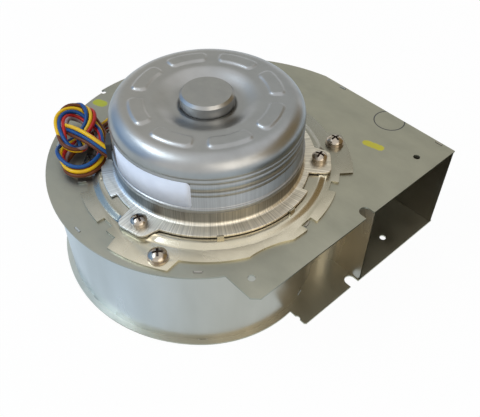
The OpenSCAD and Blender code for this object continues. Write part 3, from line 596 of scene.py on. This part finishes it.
form = bmesh.new()
rim = [form.verts.new((r, 0, can_foot + height)) for r, height in can_outline]
edges = [form.edges.new(pair) for pair in zip(rim, rim[1:])]
bmesh.ops.spin(form, geom=rim + edges, cent=(0, 0, 0), axis=(0, 0, 1), angle=2 * math.pi,
               steps=can_steps, use_merge=True)
bmesh.ops.remove_doubles(form, verts=form.verts, dist=0.001)
pad_turn = 2 * math.pi / pad_count
for vert in form.verts:
    r = math.hypot(vert.co.x, vert.co.y)
    if vert.co.z > can_top - 0.01 and r > dish_r:
        off_pad = math.atan2(vert.co.y, vert.co.x) % pad_turn - pad_turn / 2
        along = max(abs(off_pad) * pad_r - pad_half_l + pad_corner, 0)
        across = max(abs(r - pad_r) - pad_half_w + pad_corner, 0)
        within = pad_corner - math.hypot(along, across)
        vert.co.z += pad_h * eased(within / pad_edge + pad_spread)
out = Vector((math.cos(slot_angle), math.sin(slot_angle), 0))
side = Vector((-out.y, out.x, 0))
slot_faces = []
for face in form.faces:
    middle = face.calc_center_median()
    if (middle.dot(out) > 0 and abs(middle.dot(side)) < slot_half_w
            and middle.z < can_foot + slot_h):
        slot_faces.append(face)
bmesh.ops.delete(form, context="FACES", geom=slot_faces)
bmesh.ops.scale(form, vec=(mm, mm, mm), verts=form.verts)
bmesh.ops.recalc_face_normals(form, faces=form.faces)
if max(form.faces, key=lambda face: face.calc_center_median().z).normal.z < 0:
    bmesh.ops.reverse_faces(form, faces=form.faces)
can = new_piece("can_shell", form)
wall = can.modifiers.new("wall", "SOLIDIFY")
wall.thickness = can_t * mm
wall.offset = -1
can_steel = finish("can_zinc", (0.395, 0.395, 0.395, 1), (0.335, 0.335, 0.33, 1), blotch=0.011,
                   grain=0.0006, rough=(0.30, 0.40), metallic=1.0, relief=0.000003)
add_drawn_lines(can_steel, lines=60, height=(can_foot + 12) * mm, depth=0.000006, shade=0.80)
# Painted reflection: warm to cool along the 45 degree heading
paint_light_across(can_steel, (1.02, 1.0, 0.96), (0.97, 1.0, 1.03), heading=45, start=-40, end=40)
can.data.materials.append(can_steel)
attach(can, "housing")
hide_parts("motor_can")
cap_steel = finish("cap_zinc", (0.37, 0.37, 0.36, 1), (0.32, 0.32, 0.31, 1), blotch=0.006,
                   grain=0.0006, rough=(0.30, 0.40), metallic=1.0, relief=0.000003)
dress(cap_steel, "bearing_cap")

# ---------------------------------------------------------------- label
# A label of coated white paper with rounded corners, glued round the side of the can. It is
# left blank, and its white is painted with a blue cast of light.
label_from, label_to = math.radians(-106), math.radians(-49.4)
label_low, label_high = 12.6 * mm, 27.0 * mm
label_corner = 2.2 * mm
label_t = 0.08 * mm
label_r = can_r * mm + label_t
label_strips = 48

label_half = (label_to - label_from) * label_r / 2
form = bmesh.new()
bmesh.ops.create_grid(form, x_segments=1, y_segments=1, size=0.5)
bmesh.ops.scale(form, vec=(2 * label_half, label_high - label_low, 1), verts=form.verts)
bmesh.ops.bevel(form, geom=form.verts[:], offset=label_corner, offset_type="OFFSET",
                affect="VERTICES", segments=6, profile=0.5, material=-1)
for i in range(1, label_strips):
    at = -label_half + 2 * label_half * i / label_strips
    bmesh.ops.bisect_plane(form, geom=form.verts[:] + form.edges[:] + form.faces[:], dist=1e-7,
                           plane_co=(at, 0, 0), plane_no=(1, 0, 0))
for vert in form.verts:
    angle = (label_from + label_to) / 2 + vert.co.x / label_r
    height = casing_top + (label_low + label_high) / 2 + vert.co.y
    vert.co = (label_r * math.cos(angle), label_r * math.sin(angle), height)
bmesh.ops.recalc_face_normals(form, faces=form.faces)
label = new_piece("blank_label", form)
paper = label.modifiers.new("paper", "SOLIDIFY")
paper.thickness = label_t
paper.offset = 1
# Painted light: the white paper's colour is given a blue cast, as if lit by blue light
label_paper = finish("label_paper", (0.76, 0.82, 0.95, 1), (0.69, 0.75, 0.88, 1), blotch=0.006,
                     grain=0.0004, rough=(0.42, 0.55), relief=0.000004)
label.data.materials.append(label_paper)
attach(label, "housing")

# ---------------------------------------------------------------- lead sleeve
# A moulded rubber sleeve that the leads come out of. A flange lies on the can round its slot,
# and the sleeve's mouth stands out from it. Its sizes are in mm.
sleeve_low, sleeve_high = 6.0, 17.0
sleeve_half_w = 5.0
sleeve_corner = 1.6
sleeve_root, sleeve_face = can_r - 0.1, 45.7
flange_t = 1.3
flange_w = 0.7
sleeve_edge = 0.3


def pushed_out(form, faces, rise):
    """Extrudes these faces outwards by this much, and gives the new ones."""
    grown = bmesh.ops.extrude_face_region(form, geom=faces)["geom"]
    corners = [item for item in grown if isinstance(item, bmesh.types.BMVert)]
    bmesh.ops.translate(form, vec=(rise, 0, 0), verts=corners)
    return [item for item in grown if isinstance(item, bmesh.types.BMFace)]


form = bmesh.new()
bmesh.ops.create_grid(form, x_segments=1, y_segments=1, size=0.5)
bmesh.ops.scale(form, vec=(sleeve_high - sleeve_low, 2 * sleeve_half_w, 1), verts=form.verts)
bmesh.ops.bevel(form, geom=form.verts[:], offset=sleeve_corner, offset_type="OFFSET",
                affect="VERTICES", segments=5, profile=0.5, material=-1)
bmesh.ops.rotate(form, cent=(0, 0, 0), matrix=Matrix.Rotation(math.pi / 2, 3, "Y"), verts=form.verts)
flange = pushed_out(form, form.faces[:], flange_t)
bmesh.ops.inset_region(form, faces=flange, thickness=flange_w, use_even_offset=True)
pushed_out(form, flange, sleeve_face - sleeve_root - flange_t)
bmesh.ops.delete(form, context="FACES_ONLY", geom=flange)
sleeve_middle = casing_top / mm + (sleeve_low + sleeve_high) / 2
bmesh.ops.translate(form, vec=(sleeve_root, 0, sleeve_middle), verts=form.verts)
bmesh.ops.rotate(form, cent=(0, 0, 0), matrix=Matrix.Rotation(slot_angle, 3, "Z"), verts=form.verts)
bmesh.ops.scale(form, vec=(mm, mm, mm), verts=form.verts)
bmesh.ops.recalc_face_normals(form, faces=form.faces)
sleeve = new_piece("lead_sleeve", form)
edge = sleeve.modifiers.new("edge", "BEVEL")
edge.width = sleeve_edge * mm
edge.segments = 3
edge.limit_method = "ANGLE"
sleeve.data.materials.append(rubber)
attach(sleeve, "housing")
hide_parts("lead_grommet")

# ---------------------------------------------------------------- leads
# Five stranded leads in coloured PVC. They leave the motor side by side through the rubber
# sleeve, are wound in one loose knot on the casing, and run round the motor to a connector.
lead_d = 1.8 * mm
lead_pitch = 1.86 * mm
least_bend_r = 3.8 * mm
points_per_station = 5
smoothing_passes = 10
most_easing_passes = 60

# Middle of the row of leads, in mm in the plan and over the motor side plate, and the tilt
# of the row in degrees: at 0 it lies level, and at 90 its left-hand side is on top.
lead_route = [
    # out of the sleeve and across the knot
    (-25.4, -37.0, 10.2, -75), (-28.6, -38.4, 11.8, -75), (-32.2, -39.4, 13.0, -75),
    (-36.4, -40.4, 13.7, -72), (-41.0, -41.4, 13.8, -70), (-46.6, -42.2, 12.8, -68),
    # under the left side of the knot
    (-52.0, -42.2, 10.6, -60), (-57.4, -41.0, 8.2, -50), (-62.4, -38.6, 6.8, -45),
    (-66.2, -35.2, 6.4, -50), (-67.8, -31.2, 7.2, -60),
    # over its back and down its right side
    (-66.0, -28.2, 8.8, -65), (-62.4, -27.0, 10.4, -60), (-58.2, -26.9, 11.6, -40),
    (-53.8, -28.1, 12.0, -15), (-50.5, -30.2, 11.4, -5), (-48.7, -32.6, 10.3, 0),
    (-48.1, -35.0, 8.9, 0), (-47.4, -37.2, 7.4, 0),
    # back under the first pass
    (-46.0, -39.0, 6.6, 20), (-43.2, -40.0, 6.6, 50), (-40.2, -42.0, 7.2, 75),
    (-40.2, -45.4, 8.4, 80),
    # up the left side and over the top
    (-43.6, -47.4, 9.8, 60), (-48.4, -46.8, 11.2, 30), (-53.8, -45.1, 12.0, 5),
    (-59.2, -41.9, 12.1, 5), (-61.8, -38.4, 11.9, 15), (-62.3, -35.0, 11.3, 30),
    (-61.2, -31.9, 10.2, 38), (-58.4, -30.2, 9.0, 35), (-54.4, -29.6, 7.8, 20),
    (-49.8, -29.4, 7.0, 15),
    # down beside the sleeve
    (-45.4, -29.8, 6.6, 20), (-41.2, -31.0, 6.6, 40), (-37.2, -33.0, 6.5, 60),
    (-33.4, -35.4, 6.2, 85),
    # the lower loop, lying on the mounting ring
    (-30.2, -38.0, 5.6, 110), (-28.3, -41.8, 5.2, 125), (-27.6, -46.2, 4.9, 130),
    (-28.8, -50.0, 4.7, 130), (-31.8, -52.8, 4.6, 125), (-35.8, -54.0, 4.6, 110),
    (-40.4, -53.2, 4.6, 80), (-44.4, -50.6, 4.5, 45), (-47.4, -46.8, 4.1, 15),
    (-49.2, -42.2, 3.5, 0),
    # under the knot and round the back of the motor
    (-50.4, -37.4, 3.1, -15), (-50.2, -32.4, 3.2, -40), (-49.6, -27.4, 3.6, -60),
    (-49.8, -22.2, 4.1, -70), (-50.9, -17.0, 4.5, -70), (-52.4, -11.8, 4.7, -65),
    (-53.3, -6.6, 4.8, -50), (-53.5, -1.6, 5.0, -35), (-54.3, 2.8, 5.2, -25),
    (-56.6, 7.0, 5.1, -20), (-59.6, 11.0, 4.4, -10), (-62.4, 15.0, 3.8, -5),
    (-64.6, 18.8, 3.5, 0), (-66.2, 22.6, 3.2, 0),
]
# Where each lead lies in the row, at some of the route's points: places to the left, and
# places up, where it passes over or under its neighbours.
lead_places = {
    "blue": [(0, 0, 0), (7, 0, 0), (10, -1, 0), (18, -1.15, 0), (25, 0, 0), (31, 0, 0.3),
             (34, 0.5, 0.6), (37, 1.15, 0), (42, 1.15, 0), (44.5, 2, 0), (50, 0.5, 0.87),
             (54, 0.5, 0.87), (59, 2, 0)],
    "yellow": [(0, -1.1, 0), (5, -1.1, 0), (7.5, -0.6, 0.7), (10, 0, 0), (18, 0, 0), (22, 0, -1),
               (24, 0.3, -0.95), (26, 1, 0), (30, 1, 0), (36, 0, 0), (42, 0, 0), (45, 1, 0),
               (50, -0.5, 0.87), (54, -0.5, 0.87), (59, 1, 0)],
    "red": [(0, -0.65, -0.76), (5, -0.65, -0.76), (10, 1, 0), (18, 1, 0), (21, 0, -1), (25, -1, 0),
            (29, -1, -0.2), (36, 0.5, 0.87), (41, 0.5, 0.87), (45, 0, 0), (50, 1, 0), (54, 1, 0),
            (59, 0, 0)],
    "grey": [(0, 0.5, -0.87), (21, 0.5, -0.87), (27, -2, -0.1), (29, -1.8, -0.4), (32, -1, -0.9),
             (36, -0.5, 0.87), (41, -0.5, 0.87), (45, -1, 0), (50, 0, 0), (54, 0, 0), (59, -1, 0)],
    "brown": [(0, 1, 0), (5, 1, 0), (12, -0.5, -0.87), (18, -0.5, -0.87), (23, 0.5, -0.87),
              (26, 0.5, -0.87), (28.5, 2, 0), (30, 2, 0), (33, 1.2, -0.8), (37, -1, 0), (42, -1, 0),
              (45, -2, 0), (50, -1, 0), (54, -1, 0), (59, -2, 0)],
}
# Insulation colour, and the same colour where it is faded and dusty
lead_colours = {
    "blue": ((0.004, 0.050, 0.22, 1), (0.012, 0.085, 0.26, 1)),
    "yellow": ((0.82, 0.50, 0.004, 1), (0.72, 0.42, 0.02, 1)),
    "red": ((0.50, 0.008, 0.006, 1), (0.40, 0.02, 0.015, 1)),
    "grey": ((0.36, 0.26, 0.27, 1), (0.26, 0.19, 0.19, 1)),
    "brown": ((0.15, 0.038, 0.006, 1), (0.10, 0.03, 0.01, 1)),
}
lead_sheen = 0.25


def smooth_line(stations, steps):
    """Points on a smooth curve through the stations, with steps points to each stretch."""
    points = []
    ends = [2 * stations[0] - stations[1]] + stations + [2 * stations[-1] - stations[-2]]
    for i in range(1, len(ends) - 2):
        a, b, c, d = ends[i - 1 : i + 3]
        for k in range(steps):
            t = k / steps
            points.append(
                0.5 * (2 * b + (c - a) * t + (2 * a - 5 * b + 4 * c - d) * t**2
                       + (3 * b - a - 3 * c + d) * t**3)
            )
    points.append(stations[-1])
    return points


def place_at(places, station):
    """How many places to the left and up a lead lies, at a station of the route."""
    for (i, left_a, up_a), (j, left_b, up_b) in zip(places, places[1:]):
        if station <= j:
            part = eased((station - i) / (j - i))
            return left_a + (left_b - left_a) * part, up_a + (up_b - up_a) * part
    return places[-1][1:]


def ease_bends(line, least):
    """The line with its tight bends drawn out, until each has at least this radius."""
    for _ in range(most_easing_passes):
        tight = set()
        for i in range(2, len(line) - 2):
            back, ahead = line[i] - line[i - 2], line[i + 2] - line[i]
            bend = back.cross(ahead).length
            across = (line[i + 2] - line[i - 2]).length
            if back.length * ahead.length * across < 2 * least * bend:
                tight.update(n for n in (i - 1, i, i + 1) if 0 < n < len(line) - 1)
        if not tight:
            break
        drawn_out = {n: (line[n - 1] + 2 * line[n] + line[n + 1]) / 4 for n in tight}
        line = [drawn_out.get(n, point) for n, point in enumerate(line)]
    return line


middle = smooth_line([Vector((x, y, z)) * mm for x, y, z, _ in lead_route], points_per_station)
tilts = smooth_line([Vector((tilt, 0, 0)) for _, _, _, tilt in lead_route], points_per_station)
up = Vector((0, 0, 1))
for name, places in lead_places.items():
    line = []
    for n, point in enumerate(middle):
        ahead = (middle[min(n + 1, len(middle) - 1)] - middle[max(n - 1, 0)]).normalized()
        left = up.cross(ahead).normalized()
        rise = ahead.cross(left)
        tilt = math.radians(tilts[n].x)
        across, lift = place_at(places, n / points_per_station)
        row = left * math.cos(tilt) + rise * math.sin(tilt)
        over = rise * math.cos(tilt) - left * math.sin(tilt)
        line.append(point + (row * across + over * lift) * lead_pitch + up * casing_top)
    for _ in range(smoothing_passes):
        line[1:-1] = [(a + 2 * b + c) / 4 for a, b, c in zip(line, line[1:], line[2:])]
    line = ease_bends(line, least_bend_r)
    curve = bpy.data.curves.new(f"lead_{name}", "CURVE")
    curve.dimensions = "3D"
    spline = curve.splines.new("POLY")
    spline.points.add(len(line) - 1)
    for at, point in zip(spline.points, line):
        at.co = (*point, 1)
    spline.use_smooth = True
    curve.bevel_depth = lead_d / 2
    curve.bevel_resolution = 3
    curve.use_fill_caps = True
    colour, faded = lead_colours[name]
    insulation = finish(f"insulation_{name}", colour, faded, blotch=0.006, grain=0.0008,
                        rough=(0.30, 0.46), relief=0.00001)
    shader = insulation.node_tree.nodes["Principled BSDF"]
    shader.inputs["Specular IOR Level"].default_value = lead_sheen
    curve.materials.append(insulation)
    lead = bpy.data.objects.new(f"lead_{name}", curve)
    bpy.context.scene.collection.objects.link(lead)
    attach(lead, "housing")
    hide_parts("lead_loop", "lead_coil", "lead_tail")

# ---------------------------------------------------------------- connector
# The leads end beside the motor in a five-way crimp housing, which lies on the casing. It is
# moulded in natural nylon.
housing_nylon = finish("connector_nylon", (0.66, 0.62, 0.50, 1), (0.58, 0.53, 0.42, 1),
                       blotch=0.004, grain=0.0005, rough=(0.32, 0.45), relief=0.00001)
dress(housing_nylon, "lead_connector")

# ---------------------------------------------------------------- stage and light
# A pale floor that is clear from below, a soft key lamp and a fill lamp, an even white
# surround, and cards that only reflections see, so that the bright metal has something to show.
floor_white = 0.97
floor_shine = 0.8
floor_drop = 0.1 * mm
surround_light = 0.45


def mixed_shaders(tree, part, first, second):
    """Goes from the first shader to the second as the part goes from 0 to 1."""
    node = tree.nodes.new("ShaderNodeMixShader")
    for socket, value in zip(node.inputs, (part, first, second)):
        tree.links.new(value, socket)
    return node.outputs["Shader"]


form = bmesh.new()
bmesh.ops.create_grid(form, x_segments=1, y_segments=1, size=3)
floor = new_piece("floor", form)
floor.location.z = -floor_drop
floor_material = bpy.data.materials.new("floor")
floor_material.use_nodes = True
tree = floor_material.node_tree
floor_shader = tree.nodes["Principled BSDF"]
floor_shader.inputs["Base Color"].default_value = (0.8, 0.8, 0.8, 1)
floor_shader.inputs["Roughness"].default_value = 0.9
floor_shader.inputs["Specular IOR Level"].default_value = 0.0
path = tree.nodes.new("ShaderNodeLightPath")
in_view = path.outputs["Is Camera Ray"]
white = tree.nodes.new("ShaderNodeEmission")
feed(tree, white.inputs["Color"], mixed(tree, in_view, (0.80, 0.92, 1.0, 1), (1, 1, 1, 1)))
seen = math_of(tree, "MAXIMUM", math_of(tree, "MULTIPLY", in_view, floor_white),
               math_of(tree, "MULTIPLY", path.outputs["Is Glossy Ray"], floor_shine))
lit = mixed_shaders(tree, seen, floor_shader.outputs["BSDF"], white.outputs["Emission"])
facing = tree.nodes.new("ShaderNodeNewGeometry")
clear = tree.nodes.new("ShaderNodeBsdfTransparent")
surface = mixed_shaders(tree, facing.outputs["Backfacing"], lit, clear.outputs["BSDF"])
tree.links.new(surface, tree.nodes["Material Output"].inputs["Surface"])
floor.data.materials.append(floor_material)

world = bpy.data.worlds.new("world")
bpy.context.scene.world = world
world.use_nodes = True
tree = world.node_tree
path = tree.nodes.new("ShaderNodeLightPath")
seen = math_of(tree, "MAXIMUM", path.outputs["Is Camera Ray"], path.outputs["Is Glossy Ray"])
seen = math_of(tree, "MAXIMUM", seen, path.outputs["Is Transmission Ray"])
background = tree.nodes["Background"]
feed(tree, background.inputs["Strength"], ramp(tree, seen, 0.0, 1.0, low=surround_light))
feed(tree, background.inputs["Color"], (1, 1, 1, 1))

# Each lamp: place, size, power and colour
for name, place, size, power, colour in [
    ("key_lamp", (-0.5, -0.6, 0.9), 0.6, 8, (0.74, 0.87, 1.0)),
    ("fill_lamp", (0.9, -0.1, 0.6), 0.8, 3, (1.0, 0.90, 0.74)),
]:
    lamp_data = bpy.data.lights.new(name, "AREA")
    lamp_data.size = size
    lamp_data.energy = power
    lamp_data.color = colour
    lamp = bpy.data.objects.new(name, lamp_data)
    lamp.location = place
    lamp.rotation_euler = (-Vector(place)).to_track_quat("-Z", "Y").to_euler()
    bpy.context.scene.collection.objects.link(lamp)

# Each card: place of its middle as azimuth, elevation and distance, width, height, colour.
# The last is painted shadow: a dark card just over the floor beside the outlet, and it lies level.
for name, azimuth, elevation, distance, width, height, colour in [
    ("card_back", 137, 38, 0.9, 1.3, 0.55, (0.62, 0.62, 0.58)),
    ("card_right", 56, 27, 0.9, 1.3, 0.8, (0.33, 0.24, 0.12)),
    ("card_left", 220, 27, 0.9, 1.25, 0.8, (0.27, 0.47, 0.80)),
    ("card_painted_floor_shadow", 35, 0.2, 0.227, 0.23, 0.25, (0.035, 0.04, 0.027)),
]:
    form = bmesh.new()
    bmesh.ops.create_grid(form, x_segments=1, y_segments=1, size=0.5)
    card = new_piece(name, form)
    round_by, up_by = math.radians(azimuth), math.radians(elevation)
    toward = Vector((math.cos(round_by) * math.cos(up_by), math.sin(round_by) * math.cos(up_by),
                     math.sin(up_by)))
    card.location = toward * distance
    card.scale = (width, height, 1)
    if elevation > 1:
        card.rotation_euler = (-toward).to_track_quat("Z", "Y").to_euler()
    card.visible_camera = False
    card.visible_diffuse = False
    card.visible_shadow = False
    card.visible_transmission = False
    card_material = bpy.data.materials.new(name)
    card_material.use_nodes = True
    tree = card_material.node_tree
    glow = tree.nodes.new("ShaderNodeEmission")
    glow.inputs["Color"].default_value = (*colour, 1)
    tree.links.new(glow.outputs["Emission"], tree.nodes["Material Output"].inputs["Surface"])
    card.data.materials.append(card_material)

bpy.context.scene.view_settings.view_transform = "Standard"
